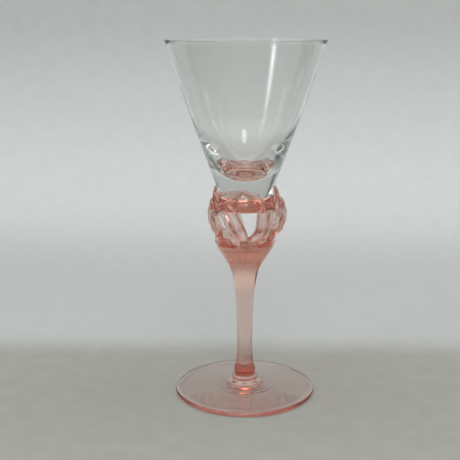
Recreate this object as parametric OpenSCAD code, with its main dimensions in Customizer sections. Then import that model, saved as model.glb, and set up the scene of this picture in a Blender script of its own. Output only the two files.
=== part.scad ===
// Stemmed glass: a clear funnel-shaped bowl held by a rose glass cage of four leaf-shaped loops,
// on a stem that opens into a trumpet, a collar and a round foot.
// Millimetres, +Z up. The origin is the middle of the foot's resting face.

/* [Foot] */
// Diameter of the foot
foot_d = 76; // [60:1:90]
// Thickness of the foot at its rounded edge
foot_edge_t = 2.4; // [1.6:0.1:3.2]
// Height of the foot's top face beside the button in its middle
foot_crown_h = 4.2; // [3.6:0.1:6]
// Diameter of the lower ring of the button
button_d = 19.4; // [17:0.2:24]
// Height of the lower ring of the button
button_ring_h = 2.4; // [1.6:0.1:3]
// Diameter of the upper ring of the button
button_top_d = 14.6; // [12.8:0.2:16.6]
// Height of the upper ring of the button
button_top_h = 2.6; // [1.6:0.1:3]

/* [Collar] */
// Diameter of the collar between foot and stem
collar_d = 11.6; // [10.8:0.1:12.6]
// Height of the collar
collar_h = 5.2; // [3:0.1:7]

/* [Stem] */
// Diameter of the stem where it stands on the collar
stem_root_d = 10; // [9:0.1:10.6]
// Diameter of the stem at its waist
stem_waist_d = 8.3; // [6.5:0.1:8.9]
// Height of the waist above the collar
stem_waist_h = 14; // [8:0.5:20]
// Height of the straight shaft above the waist, up to the trumpet
stem_shaft_h = 44; // [30:1:60]
// Diameter of the stem where the trumpet starts
trumpet_root_d = 18.8; // [16:0.2:21]
// Diameter of the trumpet at its lip
trumpet_d = 34; // [31:0.2:36]
// Height of the trumpet up to the top of its lip
trumpet_h = 16.6; // [14:0.2:20]
// Thickness of the trumpet's round lip
lip_t = 2.6; // [1.6:0.1:3.4]
// Depth of the dish in the trumpet's mouth
dish_h = 7; // [5:0.2:9]
// Depth of the four scallops in the lip
scallop_h = 5.4; // [3:0.2:6.6]
// Radius of the scallops
scallop_r = 10; // [8:0.5:12]
// Radius of the deeper scallop at the back
back_scallop_r = 7.5; // [6.5:0.5:9]
// Depth of the crease that runs down from each scallop
crease_h = 0.8; // [0.3:0.1:1.4]
// Width of the crease
crease_w = 0.9; // [0.5:0.1:1.6]

/* [Cage] */
// Height of the open part of the cage, from the trumpet's lip to the seat
cage_open_h = 13.8; // [11:0.2:17]
// Distance from the axis to the middle of a loop's rods at their widest
loop_reach = 18.1; // [17:0.1:19.2]
// Distance from a loop's middle line to the middle of its rods, at the junctions
loop_half_w = 11.3; // [10.8:0.1:11.6]
// Half the width of the doubled rod, at its widest
rod_half_w = 4.1; // [3.4:0.1:4.6]
// Half the thickness that the doubled rod would have without its groove
rod_half_t = 2.9; // [2.4:0.05:3.2]
// Depth of the groove between the two fused rods
rod_groove_h = 1.6; // [0.6:0.1:1.7]
// How far a loop's root reaches below the lip of the trumpet
loop_root_h = 3.2; // [2:0.2:4.4]
// How far a loop's tip stands above the top of the seat
loop_tip_h = 3.6; // [2.6:0.2:5]
// How much lower the back loop and its scallop reach than the others
back_drop_h = 7; // [0:0.5:8]
// How much slimmer the back loop's rod is, on each side
back_slim = 0.6; // [0:0.1:1]
// How far the front and back loops lean to the right at their middle
loop_lean = 2.6; // [0:0.1:3]

/* [Seat] */
// Diameter of the disc between the cage and the bowl
seat_d = 35.2; // [34:0.1:36.4]
// Thickness of that disc
seat_t = 7; // [5.6:0.1:8]

/* [Bowl] */
// Diameter of the bowl's rim
rim_d = 83.2; // [70:0.2:96]
// Diameter of the bowl's foot on the seat
bowl_base_d = 27; // [24:0.2:28.6]
// Height of the bowl above the seat
bowl_h = 80.2; // [65:0.2:95]
// How far the bowl's side swells past a straight cone
bowl_swell = 0.5; // [0:0.1:1.2]
// Thickness of the bowl's wall at the rim
rim_t = 1.1; // [0.8:0.1:1.8]
// Thickness of the bowl's wall beside its rounded floor
bowl_foot_wall = 6.1; // [4.5:0.1:7.5]
// Thickness of the solid glass under the bowl's floor
bowl_floor_t = 9.8; // [7:0.2:12]

/* [Hidden] */
// Overrun of cuts
over = 1;
// Free room between pieces that touch
fit_gap = 0;
round_fn = 96;
CLEAR = [0.86, 0.9, 0.92, 0.35];
ROSE = [0.86, 0.5, 0.45, 0.55];

// Heights, from the resting face upwards
button_z = foot_crown_h;
button_top_z = button_z + button_ring_h;
collar_z = button_top_z + button_top_h + fit_gap;
stem_z = collar_z + collar_h + fit_gap;
waist_z = stem_z + stem_waist_h;
trumpet_z = waist_z + stem_shaft_h;
lip_z = trumpet_z + trumpet_h;
seat_z = lip_z + cage_open_h;
bowl_z = seat_z + seat_t + fit_gap;

// Handles of the curved outlines. Collar: in at its ends and out at its middle, of its height
collar_in_share = 1 / 6;
collar_out_share = 1 / 24;
// Stem below its waist: heights of the two handles, of the waist's height, and how far the first leans in
root_handle_shares = [1 / 3, 1 / 2];
// Stem above its waist: outward shares of the waist's radius, upward shares of the shaft's height
shaft_out_shares = [1 / 15, 1 / 12];
shaft_up_shares = [0.42, 0.83];
// Trumpet: outward and upward shares of its height, from its root up and from its lip back
horn_root_shares = [0.213, 1 / 3];
horn_lip_shares = [0.033, 0.417];
// Seat: outward shares and upward shares of its thickness, for the ends and the bulge of its side
seat_out_shares = [-1 / 4, 0.03, 0.02];
seat_up_shares = [1 / 12, 0.7];
// Rounded floor of the bowl: inward share of its radius and downward share of its depth
floor_handle_shares = [1 / 3, 2 / 3];
// Half turn of the lip that shows, in degrees, between the trumpet's side and its dish
lip_arc = [15, 165];

// A loop's half outline, from its root to its tip, as shares of the sizes that it follows:
// sideways shares of loop_half_w, height shares of root to tip,
// outward shares of loop_reach up to the junction and of the bowl's foot radius from there to the tip,
// and the shares of the doubled rod's width and thickness at each point
side_shares = [0, 0.17, 0.35, 0.53, 0.66, 0.76, 0.87, 1, 0.8, 0.54, 0.27, 0];
reach_shares = [0.765, 0.76, 0.775, 0.885, 0.965, 1, 0.98, 0.91];   // of loop_reach, to the junction
tip_reach_shares = [1.22, 1.2, 1.185, 1.14];                        // of bowl_base_d / 2, junction to tip
reaches = concat(loop_reach * reach_shares, bowl_base_d / 2 * tip_reach_shares);
height_shares = [0, 0.03, 0.085, 0.19, 0.33, 0.49, 0.61, 0.7, 0.76, 0.84, 0.925, 1];
width_shares = [0.5, 0.6, 0.75, 0.9, 1, 1, 1, 0.95, 0.72, 0.52, 0.42, 0.34];
thick_shares = [0.85, 0.86, 0.88, 0.95, 1, 1, 1, 0.95, 0.82, 0.68, 0.52, 0.4];
lean_shares = [0.1, 0.2, 0.45, 0.8, 0.9, 0.65, 0.35, 0.12, 0, -0.2, -0.4, -0.5];
// How far a loop that reaches lower follows the trumpet inwards, as shares of that drop
tuck_shares = [0.45, 0.42, 0.34, 0.2, 0.07, 0, 0, 0, 0, 0, 0, 0];
loop_base_z = lip_z - loop_root_h;
loop_top_z = seat_z + seat_t + loop_tip_h;
loop_steps = 4;
loop_sides = 16;
// Share of a point's own bearing that the rod's outward side turns with it
face_turn_share = 0.6;

// Point on a cubic Bezier curve
function bezier(p, t) =
    pow(1 - t, 3) * p[0] + 3 * t * pow(1 - t, 2) * p[1] + 3 * t * t * (1 - t) * p[2] + pow(t, 3) * p[3];
function bezier_points(p, n, first = 0) = [for (i = [first:n]) bezier(p, i / n)];

// Points of an arc about a middle point
function arc(middle, r, a0, a1, n) =
    [for (i = [0:n]) let (a = a0 + (a1 - a0) * i / n) middle + r * [cos(a), sin(a)]];

// Value of a list at a fractional place, along a smooth curve through its items
function mirrored(list, i) = let (n = len(list) - 1) i < 0 ? list[-i] : i > n ? list[2 * n - i] : list[i];
function flipped(list, i) = let (n = len(list) - 1) i < 0 ? -list[-i] : i > n ? -list[2 * n - i] : list[i];
function smooth4(a, b, c, d, t) =
    0.5 * (2 * b + (c - a) * t + (2 * a - 5 * b + 4 * c - d) * t * t + (3 * b - a - 3 * c + d) * t * t * t);
function even_at(list, x) = let (i = min(floor(x), len(list) - 2), t = x - i)
    smooth4(mirrored(list, i - 1), list[i], list[i + 1], mirrored(list, i + 2), t);
function odd_at(list, x) = let (i = min(floor(x), len(list) - 2), t = x - i)
    smooth4(flipped(list, i - 1), list[i], list[i + 1], flipped(list, i + 2), t);

// Place along a loop: up its right-hand rod and down its left-hand rod
last = len(side_shares) - 1;
loop_rings = 2 * last * loop_steps;
function place(k) = let (x = k / loop_steps) x <= last ? x : 2 * last - x;
function hand(k) = k / loop_steps <= last ? 1 : -1;
function loop_point(k, lean, drop) = let (base_z = loop_base_z - drop) [
    hand(k) * loop_half_w * odd_at(side_shares, place(k)) + lean * even_at(lean_shares, place(k)),
    drop * even_at(tuck_shares, place(k)) - even_at(reaches, place(k)),
    base_z + (loop_top_z - base_z) * even_at(height_shares, place(k))];

function unit(v) = v / norm(v);
function ring_points(k, lean, drop, slim) = let (
    p = loop_point(k, lean, drop),
    after = loop_point((k + 1) % loop_rings, lean, drop),
    before = loop_point((k + loop_rings - 1) % loop_rings, lean, drop),
    along = unit(after - before),
    bearing = face_turn_share * atan2(p[0], -p[1]),
    face = [sin(bearing), -cos(bearing), 0],
    outward = unit(face - (face * along) * along),
    across = cross(along, outward),
    half_w = (rod_half_w - slim) * even_at(width_shares, place(k)),
    half_t = rod_half_t * even_at(thick_shares, place(k)),
    dip = rod_groove_h * even_at(width_shares, place(k)) / rod_half_t)
    [for (j = [0:loop_sides - 1]) let (a = 360 * j / loop_sides)
        p + half_w * cos(a) * across + half_t * sin(a) * (1 + dip * cos(2 * a)) * outward];

// One closed loop of doubled rod, in the front place
module loop_rod(lean, drop, slim) {
    points = [for (k = [0:loop_rings - 1]) each ring_points(k, lean, drop, slim)];
    faces = [for (k = [0:loop_rings - 1], j = [0:loop_sides - 1]) let (
            k2 = (k + 1) % loop_rings,
            j2 = (j + 1) % loop_sides,
            a = k * loop_sides + j,
            b = k * loop_sides + j2,
            c = k2 * loop_sides + j2,
            d = k2 * loop_sides + j)
        each [[a, b, c], [a, c, d]]];
    polyhedron(points, faces, convexity = 8);
}

// The quarter that a loop keeps to: everything between the planes where it meets its neighbours
module quarter() {
    reach = 2 * loop_reach;
    translate([0, 0, loop_base_z - reach])
        linear_extrude(2 * reach + loop_top_z - loop_base_z)
            polygon([[0, 0], [reach, -reach], [-reach, -reach]]);
}

// A loop, trimmed where it sits on the trumpet, the seat, the bowl and its neighbours
module loop(turn, lean = 0, drop = 0, slim = 0) {
    color(ROSE) difference() {
        rotate([0, 0, turn]) intersection() {
            loop_rod(lean, drop, slim);
            quarter();
        }
        stem_body();
        seat_body();
        bowl_body();
    }
}

// Outline of a round edge of given thickness, outside a radius
function bead(r, z, t, n) = arc([r - t / 2, z + t / 2], t / 2, -90, 90, n);

module foot_body() {
    foot_r = foot_d / 2;
    edge = bead(foot_r, 0, foot_edge_t, 12);
    lower = bead(button_d / 2, button_z, button_ring_h, 10);
    upper = bead(button_top_d / 2, button_top_z, button_top_h, 10);
    rotate_extrude($fn = round_fn) polygon(concat([[0, 0]], edge, lower, upper, [[0, collar_z]]));
}

module collar_body() {
    rotate_extrude($fn = round_fn)
        polygon(concat([[0, collar_z]],
            bezier_points([[collar_d / 2 - collar_h * collar_in_share, collar_z],
                [collar_d / 2 + collar_h * collar_out_share, collar_z],
                [collar_d / 2 + collar_h * collar_out_share, stem_z], [stem_root_d / 2, stem_z]], 12),
            [[0, stem_z]]));
}

// Outline of stem and trumpet: in to the waist, up the shaft, out along the trumpet, round the lip, into the dish
function horn_curve() = let (
    root = [trumpet_root_d / 2, trumpet_z],
    lip = [trumpet_d / 2, lip_z])
    [root, root + trumpet_h * horn_root_shares, lip - trumpet_h * horn_lip_shares, lip - [0, lip_t / 2]];
function stem_outline() = let (
    root_r = stem_root_d / 2,
    waist_r = stem_waist_d / 2,
    lip_r = trumpet_d / 2,
    side = [[root_r, stem_z],
        [waist_r + (root_r - waist_r) * root_handle_shares[0], stem_z + stem_waist_h * root_handle_shares[0]],
        [waist_r, stem_z + stem_waist_h * root_handle_shares[1]], [waist_r, waist_z]],
    shaft = [[waist_r, waist_z],
        [waist_r * (1 + shaft_out_shares[0]), waist_z + stem_shaft_h * shaft_up_shares[0]],
        [waist_r * (1 + shaft_out_shares[1]), waist_z + stem_shaft_h * shaft_up_shares[1]],
        [trumpet_root_d / 2, trumpet_z]])
    concat([[0, stem_z]], bezier_points(side, 8), bezier_points(shaft, 16, 1), bezier_points(horn_curve(), 12, 1),
        arc([lip_r - lip_t / 2, lip_z - lip_t / 2], lip_t / 2, lip_arc[0], lip_arc[1], 8),
        bezier_points([[lip_r - lip_t, lip_z - lip_t / 2], [lip_r - lip_t, lip_z - dish_h / 2],
            [lip_r / 2, lip_z - dish_h], [0, lip_z - dish_h]], 8, 1));

// The crease's outline: along the trumpet's side, deepest at its top
module crease() {
    steps = 6;
    side = [for (i = [0:steps]) bezier(horn_curve(), i / steps * 0.8)];
    floor_line = [for (i = [0:steps]) side[i] - [crease_h * (0.4 + 0.6 * i / steps), 0]];
    open_line = [for (i = [steps:-1:0]) side[i] + [over, 0]];
    spread = 2 * atan2(crease_w / 2, trumpet_root_d / 2);
    rotate([0, 0, -90 - spread / 2])
        rotate_extrude(angle = spread, $fn = round_fn) polygon(concat(floor_line, open_line));
}

module stem_body() {
    difference() {
        rotate_extrude($fn = round_fn) polygon(stem_outline());
        scallop(0, scallop_r, loop_lean, 0);
        scallop(90, scallop_r, 0, 0);
        scallop(180, back_scallop_r, -loop_lean, back_drop_h);
        scallop(270, scallop_r, 0, 0);
        for (turn = [0:90:270]) rotate([0, 0, turn]) crease();
    }
}

// A round scallop through the lip, under the root of the loop that stands there
module scallop(turn, r, lean, drop) {
    rotate([0, 0, turn])
        translate([lean * lean_shares[1], 0, lip_z - scallop_h - drop + r])
            rotate([90, 0, 0])
                cylinder(r = r, h = trumpet_d / 2 + over, $fn = round_fn);
}

module seat_body() {
    edge = [seat_d / 2, seat_z];
    rotate_extrude($fn = round_fn)
        polygon(concat([[0, seat_z]],
            bezier_points([edge + seat_t * [seat_out_shares[0], 0],
                edge + seat_t * [seat_out_shares[1], seat_up_shares[0]],
                edge + seat_t * [seat_out_shares[2], seat_up_shares[1]],
                [bowl_base_d / 2, seat_z + seat_t]], 12),
            [[0, seat_z + seat_t]]));
}

// The bowl's side, as a radius at a share of its height: a cone that swells a little
function bowl_r(share) =
    bowl_base_d / 2 + (rim_d - bowl_base_d) / 2 * share + 4 * bowl_swell * share * (1 - share);

// Wall thickness at shares of the bowl's height, as shares of the way from the rim's wall to the foot's wall
wall_place_shares = [0.224, 0.264, 0.314, 0.374, 0.439, 0.501, 0.6, 0.75, 1];
wall_shares = [1, 0.734, 0.486, 0.272, 0.13, 0.08, 0.05, 0.02, 0];
function inner_point(i) = [bowl_r(wall_place_shares[i]) - rim_t - (bowl_foot_wall - rim_t) * wall_shares[i],
    bowl_z + bowl_h * wall_place_shares[i]];
inner_last = len(wall_shares) - 1;
function inner_at(x) = let (i = min(floor(x), inner_last - 1), t = x - i)
    smooth4(inner_point(max(i - 1, 0)), inner_point(i), inner_point(i + 1), inner_point(min(i + 2, inner_last)), t);

function bowl_outside() = [for (i = [0:16]) [bowl_r(i / 16), bowl_z + bowl_h * i / 16]];
function bowl_inside() = let (
        nose = inner_point(0),
        floor_z = bowl_z + bowl_floor_t,
        turn_in = nose[0] * floor_handle_shares[0])
    concat([for (i = [0:24]) inner_at(inner_last * (24 - i) / 24)],
        bezier_points([nose, nose - [turn_in, (nose[1] - floor_z) * floor_handle_shares[1]],
            [turn_in, floor_z], [0, floor_z]], 12, 1));

module bowl_body() {
    rotate_extrude($fn = round_fn) polygon(concat([[0, bowl_z]], bowl_outside(), bowl_inside()));
}

module foot() { color(ROSE) foot_body(); }
module stem_collar() { color(ROSE) collar_body(); }
module stem() { color(ROSE) stem_body(); }
module loop_front() { loop(0, lean = loop_lean); }
module loop_right() { loop(90); }
module loop_back() { loop(180, lean = -loop_lean, drop = back_drop_h, slim = back_slim); }
module loop_left() { loop(270); }
module bowl_seat() { color(ROSE) seat_body(); }
module bowl() { color(CLEAR) bowl_body(); }

foot();
stem_collar();
stem();
loop_front();
loop_right();
loop_back();
loop_left();
bowl_seat();
bowl();
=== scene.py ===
# %% [markdown]
# A stemmed glass, made in pieces round a fixed CAD frame. The real one is mouth-blown: a clear,
# funnel-shaped bowl is fused to a cage of rose glass rods, which stand on the trumpet end of a drawn stem
# and a round foot. Every CAD node is hidden here by a smoother piece of the same size, because glass shows
# each facet twice: once in its gloss and once in what it bends.

# %% Load the frame
import math
import bmesh
import bpy
from mathutils import Matrix, Vector


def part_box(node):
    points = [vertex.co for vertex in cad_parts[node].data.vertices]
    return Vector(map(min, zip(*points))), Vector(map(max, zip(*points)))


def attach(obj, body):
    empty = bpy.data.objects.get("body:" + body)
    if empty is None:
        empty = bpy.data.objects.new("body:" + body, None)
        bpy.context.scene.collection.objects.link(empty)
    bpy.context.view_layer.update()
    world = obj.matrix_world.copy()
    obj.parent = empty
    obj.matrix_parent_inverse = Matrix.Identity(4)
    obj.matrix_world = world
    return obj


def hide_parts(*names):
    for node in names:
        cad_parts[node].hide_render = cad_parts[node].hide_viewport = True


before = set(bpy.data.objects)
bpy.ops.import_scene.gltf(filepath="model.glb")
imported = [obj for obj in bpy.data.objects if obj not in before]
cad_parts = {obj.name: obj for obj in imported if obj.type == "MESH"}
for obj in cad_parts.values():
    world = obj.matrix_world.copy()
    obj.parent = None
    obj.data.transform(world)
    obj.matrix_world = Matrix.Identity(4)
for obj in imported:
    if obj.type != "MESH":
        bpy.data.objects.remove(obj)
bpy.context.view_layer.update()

# %% [markdown]
# The frame is in metres, but a glass is easier to think about in millimetres. So meshes are built in
# millimetres and scaled once, when a piece is finished. The main heights and radii are read from the boxes
# of the CAD nodes, so that the looks can't drift away from the CAD's sizes.

# %% Sizes from the CAD nodes, in millimetres
MM = 0.001


def node_sizes(node):
    """A node's lowest height, highest height and widest radius from the glass's axis."""
    low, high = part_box(node)
    bottom, top, radius = low.z / MM, high.z / MM, high.x / MM
    print(node, "from", round(bottom, 2), "up to", round(top, 2), "and out to", round(radius, 2))
    return bottom, top, radius


foot_top, foot_r = node_sizes("foot")[1:]
collar_z, collar_top = node_sizes("stem_collar")[:2]
stem_z, lip_z = node_sizes("stem")[:2]
seat_z, bowl_z = node_sizes("bowl_seat")[:2]
rim_z, rim_r = node_sizes("bowl")[1:]

# %% [markdown]
# The camera comes first, because every comparison with the photograph depends on it. Its height, tilt and
# lens were fitted to the two ellipses that can be measured best, the rim and the foot. A lens that is long
# for the sensor, at less than half a metre, gives the flat ellipses and the slight look from above.

# %% Camera
IMAGE_SIDE = 460
FOCAL_PIXELS = 900
CAMERA_PLACE = Vector((0, -467.3, 201.0)) * MM
CAMERA_DOWN = 13.30
CAMERA_TURN = 0.99
SENSOR = 36
NEAREST_SEEN = 0.01

camera_data = bpy.data.cameras.new("camera")
camera_data.sensor_width = SENSOR
camera_data.lens = FOCAL_PIXELS * SENSOR / IMAGE_SIDE
camera_data.clip_start = NEAREST_SEEN
camera = bpy.data.objects.new("camera", camera_data)
camera.location = CAMERA_PLACE
camera.rotation_euler = (math.radians(90 - CAMERA_DOWN), 0, math.radians(CAMERA_TURN))
bpy.context.scene.collection.objects.link(camera)
bpy.context.scene.camera = camera
print("camera lens:", round(camera_data.lens, 2), "mm")

# %% [markdown]
# Blown and drawn glass is round about its axis, so most pieces are lathe work: an outline from the axis out
# and back to it, spun a full turn. Curved stretches are cubic Bezier curves or arcs, which keep an outline
# short. Where one stretch follows another, it leaves out its first point, because the stretch before it has
# that one.

# %% Curves for outlines
def bezier(points, steps, first=0):
    """Points along a cubic Bezier curve, from one of its steps to the last."""
    a, b, c, d = (Vector(p) for p in points)
    shares = [i / steps for i in range(first, steps + 1)]
    return [(1 - t) ** 3 * a + 3 * t * (1 - t) ** 2 * b + 3 * t * t * (1 - t) * c + t**3 * d for t in shares]


def arc(middle, radius, start, end, steps):
    """Points on an arc, with its angles in degrees."""
    turns = [math.radians(start + (end - start) * i / steps) for i in range(steps + 1)]
    return [Vector(middle) + radius * Vector((math.cos(t), math.sin(t))) for t in turns]


# %% [markdown]
# Spin turns the outline about the axis like a glassmaker's blowing iron. Its last step lands on its first,
# and the ends of the outline, which lie on the axis, become heaps of equal points. Both are merged, so that
# the skin is closed, and only then are the faces turned outwards.

# %% Lathe
SPIN_STEPS = 144
MERGE = 1e-4


def lathe(outline):
    """Spins an outline of (radius, height) points about the glass's axis."""
    bm = bmesh.new()
    points = [bm.verts.new((radius, 0, height)) for radius, height in outline]
    lines = [bm.edges.new(pair) for pair in zip(points, points[1:])]
    bmesh.ops.spin(bm, geom=points + lines, axis=(0, 0, 1), cent=(0, 0, 0), angle=math.tau,
                   steps=SPIN_STEPS, use_merge=True)
    bmesh.ops.remove_doubles(bm, verts=bm.verts, dist=MERGE)
    bmesh.ops.recalc_face_normals(bm, faces=bm.faces)
    return bm


# %% [markdown]
# A bmesh lives outside the scene, so it is written to a mesh, and the mesh gets an object. A finished piece
# is first scaled to metres and shaded smooth, as melted glass is. Edges that bend by 35 degrees or more stay
# sharp, so that the shading of a corner doesn't smear over the faces beside it. The piece takes the place of
# its CAD nodes and rides on the only body that there is, because nothing on a glass moves.

# %% Finish a piece
SHARP = math.radians(35)


def make_object(bm, name):
    """Writes a bmesh to a new object in the scene."""
    made = bpy.data.objects.new(name, bpy.data.meshes.new(name))
    bm.to_mesh(made.data)
    bm.free()
    bpy.context.scene.collection.objects.link(made)
    return made


def finish_piece(bm, name, material, slot, *nodes):
    """Scales a mesh to metres, dresses it, and puts it in the place of its CAD nodes."""
    bmesh.ops.scale(bm, vec=(MM, MM, MM), verts=bm.verts)
    for face in bm.faces:
        face.smooth = True
    for edge in bm.edges:
        edge.smooth = edge.calc_face_angle(0) < SHARP
    piece = make_object(bm, name)
    piece.data.materials.append(material)
    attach(piece, "root")
    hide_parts(*nodes)
    faces = piece.data.polygons
    print(name, "faces:", len(faces), "triangles:", sum(len(face.vertices) - 2 for face in faces))


# %% [markdown]
# Shader maths reads best as sums. So a socket is wrapped in a small class whose operators add the Math
# nodes: marks * 0.5 + haze is then a Multiply node that feeds an Add node.

# %% Sums of sockets
class Socket:
    """An output of a node that can be used in sums with numbers and other outputs."""

    def __init__(self, finish, output):
        self.finish, self.output = finish, output

    def maths(self, operation, other):
        return self.finish.node("ShaderNodeMath", {"operation": operation}, {0: self, 1: other})

    def __add__(self, other):
        return self.maths("ADD", other)

    def __mul__(self, other):
        return self.maths("MULTIPLY", other)

    __radd__, __rmul__ = __add__, __mul__


# %% [markdown]
# Every other node comes from one method, which takes a node's kind, its settings and its sockets. The short
# methods after it use it for what the finishes here need most: one coordinate of a place, a smooth ramp, a
# colour between two others, and noise. A Mix node has sockets for numbers, vectors and colours under the
# same names, so the ones for colours are found by their numbers.

# %% Nodes by one method
X, Y, Z = range(3)
FIRST_COLOUR, SECOND_COLOUR, MIXED_COLOUR = 6, 7, 2


class Finish:
    """The nodes of a material, or of the world, which are added one by one."""

    def __init__(self, owner):
        owner.use_nodes = True
        self.tree = owner.node_tree
        self.tree.nodes.clear()

    def node(self, kind, settings=None, values=None, out=0):
        """Adds a node, sets it up, and sets or links its sockets. Returns one of its outputs."""
        made = self.tree.nodes.new(kind)
        for name, value in (settings or {}).items():
            setattr(made, name, value)
        for name, value in (values or {}).items():
            if isinstance(value, Socket):
                self.tree.links.new(value.output, made.inputs[name])
            else:
                made.inputs[name].default_value = value
        return Socket(self, made.outputs[out]) if made.outputs else made

    def coordinate(self, place, axis):
        """One coordinate of a place."""
        return self.node("ShaderNodeSeparateXYZ", {}, {"Vector": place}, out=axis)

    def ramp(self, value, start, end):
        """Goes smoothly from 0 to 1 while a value goes from start to end."""
        return self.node("ShaderNodeMapRange", {"interpolation_type": "SMOOTHSTEP"},
                         {"Value": value, "From Min": start, "From Max": end})

    def mix(self, share, first, second):
        """A colour that is the first at a share of 0 and the second at a share of 1."""
        return self.node("ShaderNodeMix", {"data_type": "RGBA"},
                         {"Factor": share, FIRST_COLOUR: first, SECOND_COLOUR: second}, out=MIXED_COLOUR)

    def noise(self, place, scale, detail, roughness=0.5, distortion=0):
        """Soft random blots. The scale is how many fit in a metre."""
        return self.node("ShaderNodeTexNoise", {"noise_dimensions": "3D"},
                         {"Vector": place, "Scale": scale, "Detail": detail, "Roughness": roughness,
                          "Distortion": distortion})


# %% [markdown]
# Rose glass owes its tint to what light loses inside it: it is pale where it is thin, as in the foot, and
# coral where it is thick, as in the trumpet and the seat. So its finish is a clear surface round a volume
# that takes away green and blue. On the real glass the cage looks greyer than the trumpet below it, because
# its rods mirror the dark parts of the room, and one volume can't make that. So the surface has a pale tint
# too, which changes with height, and over the cage that tint is painted shade.
#
# Hand-worked glass is also never quite even. A slow bump bends what is seen through it, streaks drawn out
# along the stem change its tint, and touch marks change its gloss. The trumpet's uneven inside spreads the
# light that passes through it. A slight blur between two heights stands for that, and without it a smooth
# trumpet shows a hard line where total reflection starts.

# %% Glass finish
GLASS_IOR = 1.5
STREAK_SCALE = 140
STREAK_STRETCH = (1, 1, 0.3)
STREAK_BEND = 0.6
STREAK_STRENGTH = 0.4
WHITE = (1, 1, 1, 1)
MARK_SCALE = 420
MARK_ROUGHNESS = 0.6
WAVE_ROUGHNESS = 0.4
HAZE_ENDS = [(60, 70), (86, 80)]


def glass(name, tints_and_shade, absorbed, wave_size, wave_height, touch, haze=0):
    """Blown glass. Colours at heights, some painted shade; absorbed is what a metre takes from red, green and
    blue.
    """
    material = bpy.data.materials.new(name)
    finish = Finish(material)
    place = finish.node("ShaderNodeTexCoord", out="Object")
    height = finish.coordinate(place, Z)
    tint_and_shade = (*tints_and_shade[0][1], 1)
    # Colours change with height; the greyer band over the cage is painted shade.
    for (low, _), (high, above) in zip(tints_and_shade, tints_and_shade[1:]):
        tint_and_shade = finish.mix(finish.ramp(height, low * MM, high * MM), tint_and_shade, (*above, 1))
    drawn_out = finish.node("ShaderNodeMapping", {}, {"Vector": place, "Scale": STREAK_STRETCH})
    streaks = finish.noise(drawn_out, STREAK_SCALE, detail=3, distortion=STREAK_BEND)
    roughness = finish.noise(place, MARK_SCALE, detail=5, roughness=MARK_ROUGHNESS) * touch
    if haze:
        above_start, below_end = (finish.ramp(height, start * MM, end * MM) for start, end in HAZE_ENDS)
        roughness += above_start * below_end * haze
    waves = finish.noise(place, 1 / (wave_size * MM), detail=1, roughness=WAVE_ROUGHNESS)
    bump = finish.node("ShaderNodeBump", {}, {"Height": waves, "Strength": 1, "Distance": wave_height * MM})
    colour = finish.mix(streaks * STREAK_STRENGTH, tint_and_shade, WHITE)
    surface = finish.node("ShaderNodeBsdfPrincipled", {},
                          {"Base Color": colour, "Roughness": roughness, "IOR": GLASS_IOR,
                           "Transmission Weight": 1, "Normal": bump})
    density = max(absorbed)
    passed = [1 - value / density for value in absorbed]
    volume = finish.node("ShaderNodeVolumeAbsorption", {}, {"Color": (*passed, 1), "Density": density})
    finish.node("ShaderNodeOutputMaterial", {}, {"Surface": surface, "Volume": volume})
    return material


# %% [markdown]
# One function makes all four glasses: rose for stem and cage, a paler rose for the foot, which is spun out
# thin, a deep one for the collar, and a clear one for the bowl. The clear one is painted grey above the
# bowl's heavy base, as painted shade for the dim room that the bowl mirrors. The heights of the tints and the
# sizes of the waves are in millimetres. All three rose glasses absorb most in blue, then in green, which
# leaves coral.

# %% The four glasses
# From 93 to 101 mm, over the cage, the tint is painted shade for the dark room that its rods mirror.
STEM_TINTS_AND_CAGE_SHADE = [(50, (0.97, 0.86, 0.82)), (78, (0.99, 0.76, 0.69)), (88, (0.97, 0.72, 0.65)),
              (93, (0.84, 0.72, 0.69)), (101, (0.82, 0.7, 0.67)), (105, (0.79, 0.58, 0.52))]
FOOT_TINTS = [(4, (0.985, 0.935, 0.92)), (6.5, (0.95, 0.8, 0.75))]
COLLAR_TINTS = [(0, (0.84, 0.4, 0.3))]
# The grey of the clear glass above the base is painted shade.
BOWL_TINTS_AND_SHADE = [(118, (0.97, 0.97, 0.955)), (132, (0.9, 0.9, 0.885))]

rose = glass("rose_glass_finish", STEM_TINTS_AND_CAGE_SHADE, absorbed=(6, 26, 33), wave_size=16, wave_height=0.08,
             touch=0.015, haze=0.23)
pale_rose = glass("pale_rose_glass_finish", FOOT_TINTS, absorbed=(1, 14, 17), wave_size=20, wave_height=0.04,
                  touch=0.015)
deep_rose = glass("deep_rose_glass_finish", COLLAR_TINTS, absorbed=(12, 70, 90), wave_size=20,
                  wave_height=0.04, touch=0.015)
clear = glass("clear_glass_finish", BOWL_TINTS_AND_SHADE, absorbed=(2, 1.6, 1.9), wave_size=18, wave_height=0.06,
              touch=0.012)
print("finishes:", rose.name, pale_rose.name, deep_rose.name, clear.name)

# %% [markdown]
# The clear bowl is a funnel with thin walls above and a heavy, rounded bottom of solid glass, which is left
# when the gather is blown out. The thick foot of the wall works as a lens: the cavity looks half as wide
# again as it is, so its true outline was worked out from that. The outside is a cone that swells a little.
# The inside is the outside less the wall, whose extra thickness fades away over a list of heights, and a
# smooth curve is drawn through them.

# %% Walls of the bowl
BOWL_BASE_R = 13.5
BOWL_SWELL = 0.5
RIM_WALL = 0.8
FOOT_WALL = 6.1
WALL_UP_SHARES = [0.224, 0.264, 0.314, 0.374, 0.439, 0.501, 0.6, 0.75, 1]
WALL_EXTRA_SHARES = [1, 0.734, 0.486, 0.272, 0.13, 0.08, 0.05, 0.02, 0]
bowl_height = rim_z - bowl_z
last_place = len(WALL_UP_SHARES) - 1


def smooth_between(a, b, c, d, t):
    """A smooth curve's value between its points b and c."""
    slope, bend, twist = c - a, 2 * a - 5 * b + 4 * c - d, 3 * b - a - 3 * c + d
    return 0.5 * (2 * b + slope * t + bend * t**2 + twist * t**3)


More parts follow.
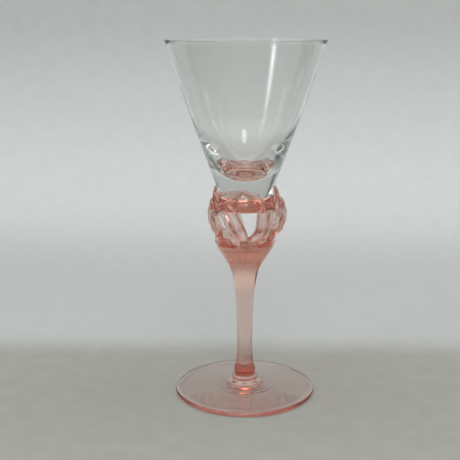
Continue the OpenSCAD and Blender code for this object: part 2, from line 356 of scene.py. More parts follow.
def bowl_radius(share):
    """Radius of the bowl's outside at a share of its height."""
    return BOWL_BASE_R + (rim_r - BOWL_BASE_R) * share + 4 * BOWL_SWELL * share * (1 - share)


def inner_wall(x):
    """A point of the inner wall at a fractional place in the wall's lists."""
    i = min(int(x), last_place - 1)
    points = []
    for k in (max(i - 1, 0), i, i + 1, min(i + 2, last_place)):
        extra = (FOOT_WALL - RIM_WALL) * WALL_EXTRA_SHARES[k]
        radius = bowl_radius(WALL_UP_SHARES[k]) - RIM_WALL - extra
        points.append(Vector((radius, bowl_z + bowl_height * WALL_UP_SHARES[k])))
    return smooth_between(*points, x - i)


print("bowl", round(bowl_height, 1), "high, inside from", [round(value, 1) for value in inner_wall(0)])

# %% [markdown]
# The outline of the bowl runs up the outside, over the rim, down the inside and across the rounded floor to
# the axis. The rim is almost flat, with small chamfers, and not a half circle: a thin round rim mirrors the
# dark parts of the room as a hard line, and the real rim catches the light.

# %% Bowl
RIM_SHAPE = [(0, 0.12), (0.12, 0.02), (0.3, 0), (0.7, 0), (0.88, 0.02)]
RIM_DROP = 0.2
FLOOR_THICKNESS = 9.8
FLOOR_HANDLE_SHARES = (1 / 3, 2 / 3)
BOWL_DIP = 0.1
BASE_CHAMFER = 0.1
OUTER_STEPS = 32
INNER_STEPS = 48

base = [Vector((0, bowl_z - BOWL_DIP)), Vector((BOWL_BASE_R - BASE_CHAMFER, bowl_z - BOWL_DIP))]
outer = [Vector((bowl_radius(i / OUTER_STEPS), bowl_z + bowl_height * i / OUTER_STEPS))
         for i in range(OUTER_STEPS)] + [Vector((rim_r, rim_z - RIM_DROP))]
rim = [Vector((rim_r - inwards * RIM_WALL, rim_z - down)) for inwards, down in RIM_SHAPE]
inner = [inner_wall(last_place * (INNER_STEPS - i) / INNER_STEPS) for i in range(1, INNER_STEPS + 1)]
floor_z = bowl_z + FLOOR_THICKNESS
wall_end = inner[-1]
across, down = wall_end[0] * FLOOR_HANDLE_SHARES[0], (wall_end[1] - floor_z) * FLOOR_HANDLE_SHARES[1]
floor = bezier([wall_end, wall_end - Vector((across, down)), (across, floor_z), (0, floor_z)], steps=20,
               first=1)
finish_piece(lathe(base + outer + rim + inner + floor), "bowl_glass", clear, "clear_glass", "bowl")

# %% [markdown]
# The foot is spun out flat from a small gather, with a round, fire-polished edge. The heat also leaves a low
# roll just inside that edge, and two faint rings lie further in. The foot hardly touches the table: its
# underside is a shallow hollow. The roll is a curve whose handles are offsets from the top of the edge, and
# each ring is a small bell-shaped rise on a straight slope, given by its radius, width and height.

# %% Disc of the foot
FOOT_EDGE = 2.4
FOOT_CROWN = 4.2
BUTTON_R = 9.7
MELTED = 1.5
ROLL = [(-1.2, 0.02), (-1.4, -0.6), (-3.8, -0.3)]
RINGS = [(15.5, 0.9, 0.1), (12.9, 0.7, 0.1)]
TOP_STEPS = 60

hollow_z = FOOT_CROWN - FOOT_EDGE
hollow = [Vector((0, hollow_z)), Vector((BUTTON_R, hollow_z))]
edge = arc((foot_r - FOOT_EDGE / 2, FOOT_EDGE / 2), FOOT_EDGE / 2, -90, 90, steps=16)
edge_top = Vector((foot_r - FOOT_EDGE / 2, FOOT_EDGE))
roll = bezier([edge_top] + [edge_top + Vector(offset) for offset in ROLL], steps=14, first=1)
slope = hollow_z / (foot_r - FOOT_EDGE / 2 - BUTTON_R)
melted_r = BUTTON_R + MELTED
button_foot = Vector((melted_r, FOOT_CROWN - MELTED * slope))
roll_r, roll_z = roll[-1]
top = []
for i in range(1, TOP_STEPS):
    radius = roll_r + (melted_r - roll_r) * i / TOP_STEPS
    height = roll_z + (button_foot[1] - roll_z) * i / TOP_STEPS
    height += sum(rise * math.exp(-((radius - place) / spread) ** 2) for place, spread, rise in RINGS)
    top.append(Vector((radius, height)))
print("foot's edge", FOOT_EDGE, "thick, hollow", round(hollow_z, 1), "deep")

# %% [markdown]
# In the middle of the foot two gathers of glass sit on each other and make a button for the collar. They
# melted into the disc and into each other, so the corners between them are curves, and only the top is a
# true arc.

# %% Button, and the foot as one piece
BUTTON_RING = 2.4
BUTTON_TOP_R = 7.3
BUTTON_TOP = 2.6
FILLET = 0.3
WAIST_IN = 0.6
WAIST_DROP = 0.2

fillet = bezier([button_foot, (BUTTON_R, FOOT_CROWN), (BUTTON_R - FILLET, FOOT_CROWN + FILLET),
                 (BUTTON_R, FOOT_CROWN + BUTTON_RING / 2)], steps=8)
step_z = FOOT_CROWN + BUTTON_RING
step = bezier([(BUTTON_R, step_z - BUTTON_RING / 2), (BUTTON_R, step_z),
               (BUTTON_TOP_R - WAIST_IN, step_z - WAIST_DROP),
               (BUTTON_TOP_R, step_z + BUTTON_TOP / 2)], steps=16, first=1)
shoulder = arc((BUTTON_TOP_R - BUTTON_TOP / 2, step_z + BUTTON_TOP / 2), BUTTON_TOP / 2, 0, 90, steps=8)[1:]
foot_outline = hollow + edge + roll + top + fillet + step + shoulder + [Vector((0, foot_top))]
finish_piece(lathe(foot_outline), "foot_glass", pale_rose, "rose_glass", "foot")

# %% [markdown]
# The collar is a small ring of deeper red glass that joins button and stem. One curve makes its side: out
# from the button, over a bulge and in to the root of the stem. It sinks a hair into the button, as the stem
# does into the collar, because two faces in the same plane give speckles.

# %% Collar
COLLAR_R = 5.8
STEM_ROOT_R = 5.0
COLLAR_FOOT_SHARE = 1 / 6
COLLAR_BULGE_SHARE = 1 / 24
SEAM_DIP = 0.05

collar_height = collar_top - collar_z
bulge = COLLAR_R + collar_height * COLLAR_BULGE_SHARE
collar_side = bezier([(COLLAR_R - collar_height * COLLAR_FOOT_SHARE, collar_z - SEAM_DIP), (bulge, collar_z),
                      (bulge, collar_top), (STEM_ROOT_R, collar_top)], steps=16)
collar_outline = [Vector((0, collar_z - SEAM_DIP))] + collar_side + [Vector((0, collar_top))]
finish_piece(lathe(collar_outline), "collar_glass", deep_rose, "rose_glass", "stem_collar")

# %% [markdown]
# Stem and trumpet are drawn from one gather. The outline goes in to the waist, up the shaft, out along the
# horn, round the lip and down into a dish. The handles of the shaft are shares of the waist's radius and of
# the shaft's height, and those of the horn are shares of the trumpet's height.

# %% Stem outline
WAIST_R = 4.15
WAIST_HEIGHT = 14
SHAFT_HEIGHT = 44
SHAFT_SHARES = [(16 / 15, 0.42), (1.145, 0.83)]
TRUMPET_ROOT_R = 9.1
HORN_ROOT_SHARES = (0.193, 1 / 3)
HORN_END_SHARES = (0.048, 0.417)
LIP_R = 17.0
LIP_THICKNESS = 2.6
LIP_TURN = (15, 165)
DISH_DEPTH = 7

waist_z = stem_z + WAIST_HEIGHT
trumpet_z = waist_z + SHAFT_HEIGHT
trumpet_height = lip_z - trumpet_z
lip_middle_z = lip_z - LIP_THICKNESS / 2
stem_side = bezier([(STEM_ROOT_R, stem_z),
                    (WAIST_R + (STEM_ROOT_R - WAIST_R) / 3, stem_z + WAIST_HEIGHT / 3),
                    (WAIST_R, stem_z + WAIST_HEIGHT / 2), (WAIST_R, waist_z)], steps=14)
swell = [(WAIST_R * out, waist_z + SHAFT_HEIGHT * up) for out, up in SHAFT_SHARES]
shaft = bezier([(WAIST_R, waist_z)] + swell + [(TRUMPET_ROOT_R, trumpet_z)], steps=40, first=1)
root_out, root_up = (trumpet_height * share for share in HORN_ROOT_SHARES)
end_in, end_down = (trumpet_height * share for share in HORN_END_SHARES)
horn = bezier([(TRUMPET_ROOT_R, trumpet_z), (TRUMPET_ROOT_R + root_out, trumpet_z + root_up),
               (LIP_R - end_in, lip_z - end_down), (LIP_R, lip_middle_z)], steps=24, first=1)
lip = arc((LIP_R - LIP_THICKNESS / 2, lip_middle_z), LIP_THICKNESS / 2, *LIP_TURN, steps=8)
dish = bezier([(LIP_R - LIP_THICKNESS, lip_middle_z), (LIP_R - LIP_THICKNESS, lip_z - DISH_DEPTH / 2),
               (LIP_R / 2, lip_z - DISH_DEPTH), (0, lip_z - DISH_DEPTH)], steps=16, first=1)
full_side = stem_side + shaft + horn
print("stem from", round(stem_z, 1), "to the lip at", round(lip_z, 1))

# %% [markdown]
# Each loop of the cage is a doubled rod, bent to a leaf shape and pressed flat between stem and bowl. Its
# middle line is a smooth closed curve through a few points, given from its root to its tip as shares of the
# cage's sizes: sideways, outwards and upwards. More lists say how wide and thick the rod is at each point,
# how far it leans with its loop, and how far it is tucked in where the loop hangs lower. The other half
# mirrors the first.

# %% Sizes of a loop
LOOP_REACH = 18.1
LOOP_HALF_W = 11.3
LOOP_ROOT = 3.2
LOOP_TIP = 3.6
SIDE_SHARES = [0, 0.15, 0.3, 0.465, 0.635, 0.745, 0.83, 0.97, 0.8, 0.54, 0.27, 0]
REACH_SHARES = [0.79, 0.785, 0.755, 0.8, 0.96, 1, 0.98, 0.885]
TIP_REACH_SHARES = [1.22, 1.2, 1.185, 1.14]
HEIGHT_SHARES = [0, 0.03, 0.085, 0.19, 0.33, 0.49, 0.61, 0.7, 0.76, 0.84, 0.925, 1]
WIDTH_SHARES = [0.5, 0.6, 0.75, 0.9, 1, 1, 1, 0.88, 0.68, 0.52, 0.42, 0.34]
THICK_SHARES = [0.85, 0.86, 0.88, 0.95, 1, 1, 1, 0.8, 0.74, 0.66, 0.52, 0.4]
LEAN_SHARES = [0.2, 0.35, 0.65, 1, 0.95, 0.65, 0.4, 0.12, 0, -0.2, -0.4, -0.5]
TUCK_SHARES = [0.45, 0.42, 0.34, 0.2, 0.07, 0, 0, 0, 0, 0, 0, 0]
reaches = [LOOP_REACH * share for share in REACH_SHARES]
reaches += [BOWL_BASE_R * share for share in TIP_REACH_SHARES]
print("loop's line reaches out from", round(min(reaches), 1), "to", round(max(reaches), 1))

# %% [markdown]
# A smooth curve through a list's values gives every number between them, and one function serves all the
# lists. At both ends of its lists the loop turns back on its other side, so a list goes on there as its own
# mirror image. What points sideways changes its sign in that mirror, and the rest doesn't.

# %% Middle line of a loop
LOOP_STEPS = 6
loop_last = len(SIDE_SHARES) - 1
loop_rings = 2 * loop_last * LOOP_STEPS


def along_list(values, x, mirror_sign):
    """A smooth value between a list's items. Past an end, the list is mirrored, with the given sign."""
    last = len(values) - 1
    i = min(int(x), last - 1)
    before = values[i - 1] if i else mirror_sign * values[1]
    after = values[i + 2] if i + 2 <= last else mirror_sign * values[last - 1]
    return smooth_between(before, values[i], values[i + 1], after, x - i)


def loop_place(k):
    """How far up the loop ring k lies, and on which of its sides."""
    x = k / LOOP_STEPS
    return (x, 1) if x <= loop_last else (2 * loop_last - x, -1)


def loop_point(k, lean, drop, stretch):
    """The middle of ring k, for the loop at the front."""
    x, hand = loop_place(k % loop_rings)
    low = lip_z - LOOP_ROOT - drop
    high = bowl_z + LOOP_TIP
    belly = math.sin(math.pi * along_list(HEIGHT_SHARES, x, 1)) if 0 < x < loop_last else 0
    sideways = hand * LOOP_HALF_W * along_list(SIDE_SHARES, x, -1) + lean * along_list(LEAN_SHARES, x, 1)
    inwards = drop * along_list(TUCK_SHARES, x, 1) - along_list(reaches, x, 1) * (1 + stretch * belly)
    return Vector((sideways, inwards, low + (high - low) * along_list(HEIGHT_SHARES, x, 1)))


print("rings in a loop:", loop_rings)

# %% [markdown]
# The rod's section is an oval with a groove on both faces, which is what is left where two rods lie side by
# side: an ellipse whose thickness is least in the middle of each face. It stands square to the loop's line,
# with its face turned to the outside of the cage. The melting that comes later takes a little off its edges,
# so the width has that loss added.

# %% Section of the rod
ROD_HALF_W = 4.1
ROD_HALF_T = 2.9
ROD_GROOVE = 1.6
MELT_LOSS = 0.3
FACE_TURN = 0.6
FACE_TURN_FADE = 3
FACE_TURN_END = 8.5
LOOP_SIDES = 24


def loop_ring(k, lean, drop, slim, stretch):
    """The points of one ring of the doubled rod."""
    middle = loop_point(k, lean, drop, stretch)
    along = (loop_point(k + 1, lean, drop, stretch) - loop_point(k - 1, lean, drop, stretch)).normalized()
    x = loop_place(k % loop_rings)[0]
    faced = FACE_TURN * min(1, max(0, (FACE_TURN_END - x) / FACE_TURN_FADE))
    bearing = faced * math.atan2(middle.x, -middle.y)
    face = Vector((math.sin(bearing), -math.cos(bearing), 0))
    outward = (face - face.dot(along) * along).normalized()
    across = along.cross(outward)
    width = along_list(WIDTH_SHARES, x, 1)
    half_w = (ROD_HALF_W - slim) * width + MELT_LOSS
    half_t = ROD_HALF_T * along_list(THICK_SHARES, x, 1)
    groove = ROD_GROOVE * width / ROD_HALF_T
    turns = [math.tau * j / LOOP_SIDES for j in range(LOOP_SIDES)]
    return [middle + half_w * math.cos(a) * across
            + half_t * math.sin(a) * (1 + groove * math.cos(2 * a)) * outward for a in turns]


# %% [markdown]
# The rod could be a curve with a bevel object, but that only grows and shrinks a section, and this one
# changes its shape as it goes. So the first ring is extruded again and again, each new ring is moved to its
# own points, and the last is bridged to the first.

# %% Loop mesh
def loop_rod(lean=0, drop=0, slim=0, stretch=0):
    """Extrudes the first ring along the whole loop and bridges the last ring to the first."""
    bm = bmesh.new()
    ring = [bm.verts.new(p) for p in loop_ring(0, lean, drop, slim, stretch)]
    edges = [bm.edges.new((a, b)) for a, b in zip(ring, ring[1:] + ring[:1])]
    first_edges = list(edges)
    for k in range(1, loop_rings):
        made = bmesh.ops.extrude_edge_only(bm, edges=edges)["geom"]
        fresh = {g for g in made if isinstance(g, bmesh.types.BMVert)}
        ring = [next(e.other_vert(v) for e in v.link_edges if e.other_vert(v) in fresh) for v in ring]
        edges = [g for g in made if isinstance(g, bmesh.types.BMEdge) and set(g.verts) <= fresh]
        for vertex, point in zip(ring, loop_ring(k, lean, drop, slim, stretch)):
            vertex.co = point
    bmesh.ops.bridge_loops(bm, edges=edges + first_edges)
    bmesh.ops.recalc_face_normals(bm, faces=bm.faces)
    return bm


# %% [markdown]
# Four loops share the cage, a quarter each, and where two meet they are pressed against each other. So a
# loop is cut at the two upright planes between it and its neighbours, a little past them, so that the cuts
# overlap and melt together. The cuts are filled, because only closed solids can be melted.

# %% Cut a loop to its quarter
WEDGE_OVERLAP = 0.3


def keep_quarter(bm):
    """Cuts a loop a little past the two planes where it meets its neighbours, and closes the cuts."""
    for hand in (-1, 1):
        side = Vector((hand, 1, 0)).normalized()
        cut = bmesh.ops.bisect_plane(bm, geom=bm.verts[:] + bm.edges[:] + bm.faces[:],
                                     plane_co=side * WEDGE_OVERLAP, plane_no=side, clear_outer=True)
        edges = [g for g in cut["geom_cut"] if isinstance(g, bmesh.types.BMEdge)]
        bmesh.ops.triangle_fill(bm, use_beauty=True, edges=edges)
    bmesh.ops.recalc_face_normals(bm, faces=bm.faces)
    print("open edges of a loop:", sum(e.is_boundary for e in bm.edges))
    return bm


# %% [markdown]
# A few tools help to put the cage together. One turns a mesh, one adds a mesh to another, and one runs a
# mesh through modifiers, for what bmesh has no operator for: the Boolean and the remesh.

# %% Turn and add meshes, and run modifiers
def turn_mesh(bm, degrees, axis):
    """Turns a mesh about an axis through the origin."""
    turn = Matrix.Rotation(math.radians(degrees), 3, axis)
    bmesh.ops.rotate(bm, cent=(0, 0, 0), matrix=turn, verts=bm.verts)


def add_to(bm, part, turn=0):
    """Puts a second mesh into a first, turned about the axis."""
    turn_mesh(part, turn, "Z")
    holder = bpy.data.meshes.new("holder")
    part.to_mesh(holder)
    part.free()
    bm.from_mesh(holder)
    bpy.data.meshes.remove(holder)


def discard(helper):
    """Takes a helper object and its mesh out of the scene again."""
    mesh = helper.data
    bpy.data.objects.remove(helper)
    bpy.data.meshes.remove(mesh)


def through_modifiers(bm, *chain):
    """The mesh after a chain of modifiers, each given as a kind and its settings."""
    holder = make_object(bm, "holder")
    for kind, settings in chain:
        modifier = holder.modifiers.new(kind, kind)
        for name, value in settings.items():
            setattr(modifier, name, value)
    made = bmesh.new()
    made.from_object(holder, bpy.context.evaluated_depsgraph_get())
    discard(holder)
    return made


# %% [markdown]
# All four loops are made at the front by the same functions, from a few numbers each, and then turned into
# place: front, right, back and left. The front and back loops lean to the same side, with opposite signs
# because half a turn lies between them. The back one is slimmer and hangs lower, and those at the sides
# bulge out a little more or less.

# %% The four loops
LOOP_LEAN = 2.6
BACK_DROP = 7
BACK_SLIM = 0.6
RIGHT_STRETCH = 0.055
LEFT_STRETCH = -0.065
BACK_TURN = 180
LOOPS = [(0, dict(lean=LOOP_LEAN)),
         (90, dict(stretch=RIGHT_STRETCH)),
         (BACK_TURN, dict(lean=-LOOP_LEAN, drop=BACK_DROP, slim=BACK_SLIM)),
         (270, dict(stretch=LEFT_STRETCH))]
print("turns of the loops:", [turn for turn, _ in LOOPS])

# %% [markdown]
# The roots of the loops lie in the trumpet's lip, and each has pressed a round scallop into it. The upper
# part of the stem is spun as a blank of its own, and a round bar is cut out of its lip below each loop. The
# Boolean is the exact one, which needs a dish that stays deeper than the scallops.

# %% Trumpet with its scallops
SCALLOP = 5.4
SCALLOP_R = 10
BACK_SCALLOP_R = 7.5
BACK_SCALLOP_START = 5
CUT_OVER = 1
CUTTER_SIDES = 96
SEAM_BELOW_TRUMPET = 14
BLANK_BELOW_SEAM = 4
seam_z = trumpet_z - SEAM_BELOW_TRUMPET
blank_z = seam_z - BLANK_BELOW_SEAM


def scallop_cutter(turn, shape):
    """A round bar that lies along a radius, through the lip."""
    radius, start = (BACK_SCALLOP_R, BACK_SCALLOP_START) if turn == BACK_TURN else (SCALLOP_R, 0)
    length = LIP_R + CUT_OVER - start
    sideways = shape.get("lean", 0) * LEAN_SHARES[1]
    upwards = lip_z - SCALLOP - shape.get("drop", 0) + radius
    bm = bmesh.new()
    bmesh.ops.create_cone(bm, cap_ends=True, segments=CUTTER_SIDES, radius1=radius, radius2=radius,
                          depth=length)
    turn_mesh(bm, 90, "X")
    bmesh.ops.translate(bm, vec=(sideways, -start - length / 2, upwards), verts=bm.verts)
    turn_mesh(bm, turn, "Z")
    return make_object(bm, "cutter")


cutters = [scallop_cutter(turn, shape) for turn, shape in LOOPS]
blank = [Vector((0, blank_z))] + [p for p in full_side if p[1] > blank_z + MERGE]
cuts = [("BOOLEAN", dict(object=cutter, operation="DIFFERENCE", solver="EXACT")) for cutter in cutters]
trumpet = through_modifiers(lathe(blank + lip + dish), *cuts)
for cutter in cutters:
    discard(cutter)
print("trumpet faces:", len(trumpet.faces))

# %% [markdown]
# The seat is a thick disc of rose glass that closes the cage. Its side bulges low down and draws in to the
# bowl's base. The handles are shares of its thickness, outwards and upwards.

# %% Seat outline
SEAT_R = 17.6
SEAT_SHARES = [(-1 / 4, 0), (0.03, 1 / 12), (0.02, 0.7)]
seat_t = bowl_z - seat_z
seat_side = bezier([(SEAT_R + seat_t * out, seat_z + seat_t * up) for out, up in SEAT_SHARES]
                   + [(BOWL_BASE_R, bowl_z)], steps=24)
seat_outline = [Vector((0, seat_z))] + seat_side + [Vector((0, bowl_z))]
print("seat", round(seat_t, 1), "thick, out to", round(max(p[0] for p in seat_outline), 1))

# %% [markdown]
# In the furnace the loops, the trumpet and the seat melt into each other, with soft hollows where they meet.
# That is what a voxel remesh does: it takes the outside of all the overlapping solids and makes one even
# skin of it. A few rounds of smoothing then melt the corners.

# %% Fuse the cage
VOXEL = 0.4
MELT_ROUNDS = 8
MELT = 0.5
cage = trumpet
for turn, shape in LOOPS:
    add_to(cage, keep_quarter(loop_rod(**shape)), turn)
add_to(cage, lathe(seat_outline))
cage = through_modifiers(cage, ("REMESH", dict(mode="VOXEL", voxel_size=VOXEL, adaptivity=0)))
for _ in range(MELT_ROUNDS):
    bmesh.ops.smooth_vert(cage, verts=cage.verts, factor=MELT, use_axis_x=True, use_axis_y=True,
                          use_axis_z=True)
print("cage faces:", len(cage.faces))

# %% [markdown]
# Remesh and smoothing leave the skin of a turned part a little off its outline, in steps that glass would
# show as stripes. So each point near the stem's outline goes back onto it, and the top of the seat is made
# flat for the bowl. Points that are further off belong to a loop or a melted corner. They stay where they
# are, and the pull fades out between the two.

# %% Put the turned parts of the skin back on their outlines
SNAP_FULL = 0.12
SNAP_NONE = 0.4
AXIS_R = 0.1
SEAT_EDGE = 0.5


def outline_radius(height):
    """Radius of the stem's outline at a height."""
    for low, high in zip(full_side, full_side[1:]):
        if low[1] <= height <= high[1]:
            share = (height - low[1]) / max(high[1] - low[1], MERGE)
            return low[0] + (high[0] - low[0]) * share
    return None


def snap_share(off):
    """How much of a small error is taken back: all of it up to one bound, none of it past another."""
    return min(max((SNAP_NONE - abs(off)) / (SNAP_NONE - SNAP_FULL), 0), 1)


snapped = 0
for vertex in cage.verts:
    x, y, z = vertex.co
    radius = math.hypot(x, y)
    target = outline_radius(z) if z < lip_middle_z else None
    if target and radius > AXIS_R:
        off = target - radius
        vertex.co = (*(vertex.co.xy * (1 + off * snap_share(off) / radius)), z)
        snapped += abs(off) < SNAP_NONE
    elif radius < BOWL_BASE_R - SEAT_EDGE and abs(z - bowl_z) < SNAP_NONE:
        vertex.co.z = bowl_z
print("points back on the stem's outline:", snapped)

# %% [markdown]
# A narrow crease runs down the front of the trumpet, where the root of the loop was pinched into it. The
# skin is cut along the middle and both sides of the crease, and the points between them sink in, most in the
# middle. It runs out slowly below and quickly above.

# %% Crease down the front of the trumpet
CREASE_BELOW_LIP = 5
CREASE_LENGTH = 15
CREASE_HALF_W = 0.4
CREASE_DEPTH = 1.4
CREASE_LOWER_FADE = 6
CREASE_UPPER_FADE = 2
FRONT_Y = -5
STRIP_WIDTHS = 3
STRIP_OVER = 1
crease_top = lip_z - CREASE_BELOW_LIP
crease_foot = crease_top - CREASE_LENGTH


def in_strip(face):
    """Whether a face lies in the strip that the crease runs down, which is a little larger than it."""
    x, y, z = face.calc_center_median()
    return (y < FRONT_Y and abs(x) < STRIP_WIDTHS * CREASE_HALF_W
            and crease_foot - STRIP_OVER < z < crease_top + STRIP_OVER)


for side in (-CREASE_HALF_W, 0, CREASE_HALF_W):
    strip = [face for face in cage.faces if in_strip(face)]
    edges = list({e for face in strip for e in face.edges})
    verts = list({v for face in strip for v in face.verts})
    bmesh.ops.bisect_plane(cage, geom=verts + edges + strip, plane_co=(side, 0, 0), plane_no=(1, 0, 0))
sunk = 0
for vertex in cage.verts:
    x, y, z = vertex.co
    if y < FRONT_Y and abs(x) < CREASE_HALF_W and crease_foot < z < crease_top:
        ends = min((z - crease_foot) / CREASE_LOWER_FADE, (crease_top - z) / CREASE_UPPER_FADE, 1)
        vertex.co.y += CREASE_DEPTH * ends * (1 - abs(x) / CREASE_HALF_W)
        sunk += 1
print("points in the crease:", sunk)

# %% [markdown]
# The shaft needs no remesh, and a turned one has the cleanest gloss. So the melted skin is cut off level
# below the trumpet, the rest of the stem is spun from the same outline, and the two rims are bridged. Stem,
# loops and seat are now one closed skin, as on the real glass, and it takes the place of six CAD nodes.

# %% Weld the cage to the stem's shaft
WELD_GAP = 0.5
bmesh.ops.bisect_plane(cage, geom=cage.verts[:] + cage.edges[:] + cage.faces[:], plane_co=(0, 0, seam_z),
                       plane_no=(0, 0, 1), clear_inner=True)
lower = [Vector((0, stem_z - SEAM_DIP))] + [p for p in full_side if p[1] < seam_z - WELD_GAP]
add_to(cage, lathe(lower))
rims = [e for e in cage.edges if e.is_boundary]
print("open edges to weld:", len(rims))
bmesh.ops.bridge_loops(cage, edges=rims)
bmesh.ops.recalc_face_normals(cage, faces=cage.faces)
finish_piece(cage, "stem_and_cage_glass", rose, "rose_glass",
             "stem", "loop_front", "loop_right", "loop_back", "loop_left", "bowl_seat")

# %% [markdown]
# Clear glass shows little but what stands round it, so the stage matters as much as the glass. It is one
# sheet of paper: flat under the glass, then round a quarter circle and up behind it, as in a photo studio.
# From here on, all sizes are in metres.

# %% Sheet for the backdrop
FLOOR_FRONT = -4
WALL_Y = 0.55
SWEEP_R = 0.2
WALL_TOP = 1.2
HALF_WIDTH = 4


def backdrop(material):
    """One sheet: along the floor, round a quarter circle and up the wall, extruded sideways."""
    sweep = arc((WALL_Y - SWEEP_R, SWEEP_R), SWEEP_R, -90, 0, steps=24)
    line = [Vector((FLOOR_FRONT, 0))] + sweep + [Vector((WALL_Y, WALL_TOP))]
    bm = bmesh.new()
    points = [bm.verts.new((-HALF_WIDTH, y, z)) for y, z in line]
    edges = [bm.edges.new(pair) for pair in zip(points, points[1:])]
    made = bmesh.ops.extrude_edge_only(bm, edges=edges)["geom"]
    far = [g for g in made if isinstance(g, bmesh.types.BMVert)]
    bmesh.ops.translate(bm, vec=(2 * HALF_WIDTH, 0, 0), verts=far)
    bmesh.ops.recalc_face_normals(bm, faces=bm.faces)
    for face in bm.faces:
        face.smooth = True
    sheet = make_object(bm, "backdrop")
    sheet.data.materials.append(material)
    return sheet


# %% [markdown]
# The paper is graduated, as studio paper is: stone grey where the glass stands, paler where it starts to
# rise, and palest as a wall, which is what the bowl is seen against. Its far left end and its top are painted
# almost black, as painted shade: photographers put black cards there, out of the picture, because the edges
# of a glass bend them into the dark lines that draw its outline. Under the foot the paper has a paler disc,
# a painted pool of light for the light that a real foot gathers below it and that a renderer rarely finds.
# Fine grain keeps each tone from looking flat.

# %% Paper
PAPER_GRAIN = 90
PAPER_ROUGHNESS = 0.9
STONE_TONES = ((0.27, 0.262, 0.232, 1), (0.33, 0.32, 0.285, 1))
SWEEP_TONES = ((0.4, 0.4, 0.385, 1), (0.45, 0.45, 0.435, 1))
WALL_TONES = ((0.55, 0.555, 0.535, 1), (0.61, 0.615, 0.595, 1))
# A paler tone for a painted pool of light under the foot.
PAINTED_FOOT_LIGHT_TONE = (0.46, 0.43, 0.385, 1)
# An almost black tone for painted shade at the paper's far left end and top.
PAINTED_SHADE_TONE = (0.05, 0.05, 0.05, 1)
PAINTED_FOOT_LIGHT_EDGE = (0.0385, 0.036)
SWEEP_START = (0.045, 0.09)
WALL_START = (0.2, 0.5)
# Where the painted shade starts, to the left and at the top.
LEFT_PAINTED_SHADE_EDGE = (-0.62, -0.4)
TOP_PAINTED_SHADE_EDGE = (0.9, 0.5)


def paper():
    """Graduated paper, from the place of the glass outwards and back to the wall, with painted light and
    shade.
    """
    material = bpy.data.materials.new("paper_finish")
    finish = Finish(material)
    place = finish.node("ShaderNodeTexCoord", out="Object")
    x, y, z = (finish.coordinate(place, axis) for axis in (X, Y, Z))
    grain = finish.noise(place, PAPER_GRAIN, detail=6)
    stone, sweep, wall = (finish.mix(grain, *tones) for tones in (STONE_TONES, SWEEP_TONES, WALL_TONES))
    from_axis = finish.node("ShaderNodeVectorMath", {"operation": "LENGTH"}, {0: place}, out="Value")
    # A paler disc under the foot: painted light.
    floor_with_painted_light = finish.mix(finish.ramp(from_axis, *PAINTED_FOOT_LIGHT_EDGE), stone, PAINTED_FOOT_LIGHT_TONE)
    floor = finish.mix(finish.ramp(y, *SWEEP_START), floor_with_painted_light, sweep)
    # Painted shade: the paper goes almost black at its far left end and at its top.
    outside_painted_shade = finish.ramp(x, *LEFT_PAINTED_SHADE_EDGE) * finish.ramp(z, *TOP_PAINTED_SHADE_EDGE)
    colour = finish.mix(finish.ramp(y, *WALL_START), floor, finish.mix(outside_painted_shade, PAINTED_SHADE_TONE, wall))
    shader = finish.node("ShaderNodeBsdfPrincipled", {}, {"Base Color": colour, "Roughness": PAPER_ROUGHNESS})
    finish.node("ShaderNodeOutputMaterial", {}, {"Surface": shader})
    return material


sheet = backdrop(paper())
print("backdrop faces:", len(sheet.data.polygons), "material:", sheet.data.materials[0].name)

# %% [markdown]
# The long soft streak in the bowl is a window, mirrored in the glass. Four oval lamps of the same place and
# growing size stand for it, so that it fades out to its edges, as one lamp can't. A narrow lamp at the right
# edges the glass, and a small, almost round one above and behind the camera makes a clear glint. An area
# lamp shines one way only and is dark from behind. So the lamp for the wall stands between glass and wall,
# turned to the wall: it lights the paper, and the glass doesn't mirror it.

# %% Lamps
GLASS_MIDDLE = (0, 0, 0.14)
WHITE_LIGHT = (1, 1, 1)
DAYLIGHT = (0.86, 0.94, 1)
WINDOW_PLACE = (-0.98, -0.82, 1.02)
WINDOW_OVALS = [((0.08, 0.12), 0.22), ((0.15, 0.24), 0.45), ((0.22, 0.4), 0.63), ((0.3, 0.7), 0.7)]
WALL_AIM = (0.4, 0.55, 0.35)


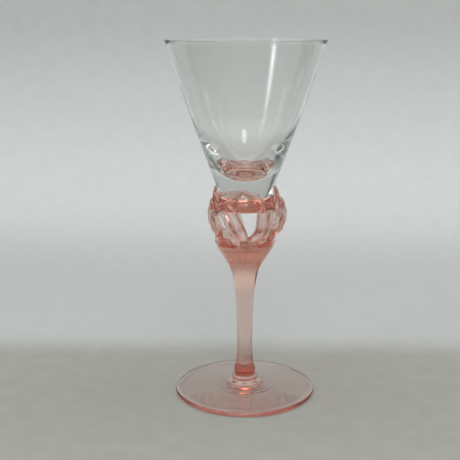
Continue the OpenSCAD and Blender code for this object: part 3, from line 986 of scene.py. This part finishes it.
def softbox(name, place, size, watts, aim=GLASS_MIDDLE, colour=WHITE_LIGHT):
    """An oval lamp that faces a point."""
    data = bpy.data.lights.new(name, "AREA")
    data.shape = "ELLIPSE"
    data.size, data.size_y = size
    data.energy = watts
    data.color = colour
    lamp = bpy.data.objects.new(name, data)
    lamp.location = place
    lamp.rotation_euler = (Vector(aim) - Vector(place)).to_track_quat("-Z", "Y").to_euler()
    bpy.context.scene.collection.objects.link(lamp)
    print(name, "lamp:", watts, "W, size", size)


for size, watts in WINDOW_OVALS:
    softbox("window", WINDOW_PLACE, size, watts, colour=DAYLIGHT)
softbox("side", place=(1.05, -0.55, 0.58), size=(0.06, 0.35), watts=0.15)
softbox("wall", place=(0.4, 0.08, 0.95), size=(2.4, 0.2), watts=2.1, aim=WALL_AIM)
softbox("glint", place=(0.06, -0.6, 0.98), size=(0.24, 0.22), watts=0.85)

# %% [markdown]
# The room round the stage is the world. It is dim, because a bright one would fill the glass with light from
# everywhere and wash out its edges, and it grows brighter to the left and above, where the window and the
# ceiling are.

# %% World
ROOM = 0.2
WINDOW_SIDE = 0.4
CEILING = 1.6
WINDOW_SIDE_ENDS = (-0.3, -0.9)
CEILING_ENDS = (0.4, 0.8)
ROOM_COLOUR = (0.95, 0.98, 1, 1)

world = bpy.data.worlds.new("studio")
bpy.context.scene.world = world
studio = Finish(world)
way = studio.node("ShaderNodeTexCoord", out="Generated")
leftness = studio.ramp(studio.coordinate(way, X), *WINDOW_SIDE_ENDS)
topness = studio.ramp(studio.coordinate(way, Z), *CEILING_ENDS)
strength = leftness * WINDOW_SIDE + topness * CEILING + ROOM
sky = studio.node("ShaderNodeBackground", {}, {"Color": ROOM_COLOUR, "Strength": strength})
studio.node("ShaderNodeOutputWorld", {}, {"Surface": sky})
print("world:", world.name, "with", len(world.node_tree.nodes), "nodes")

# %% [markdown]
# A ray goes through many skins of glass on its way through bowl, seat and cage, and inside the thick pieces
# it turns back again and again. With Blender's own limits it would be given up on the way, and the thick
# glass would show black wedges. So the limits are raised.

# %% Colours and bounces
BOUNCES = 32
bpy.context.scene.view_settings.view_transform = "Standard"
bpy.context.scene.cycles.max_bounces = BOUNCES
bpy.context.scene.cycles.glossy_bounces = BOUNCES
bpy.context.scene.cycles.transmission_bounces = BOUNCES
print("bounces:", BOUNCES)
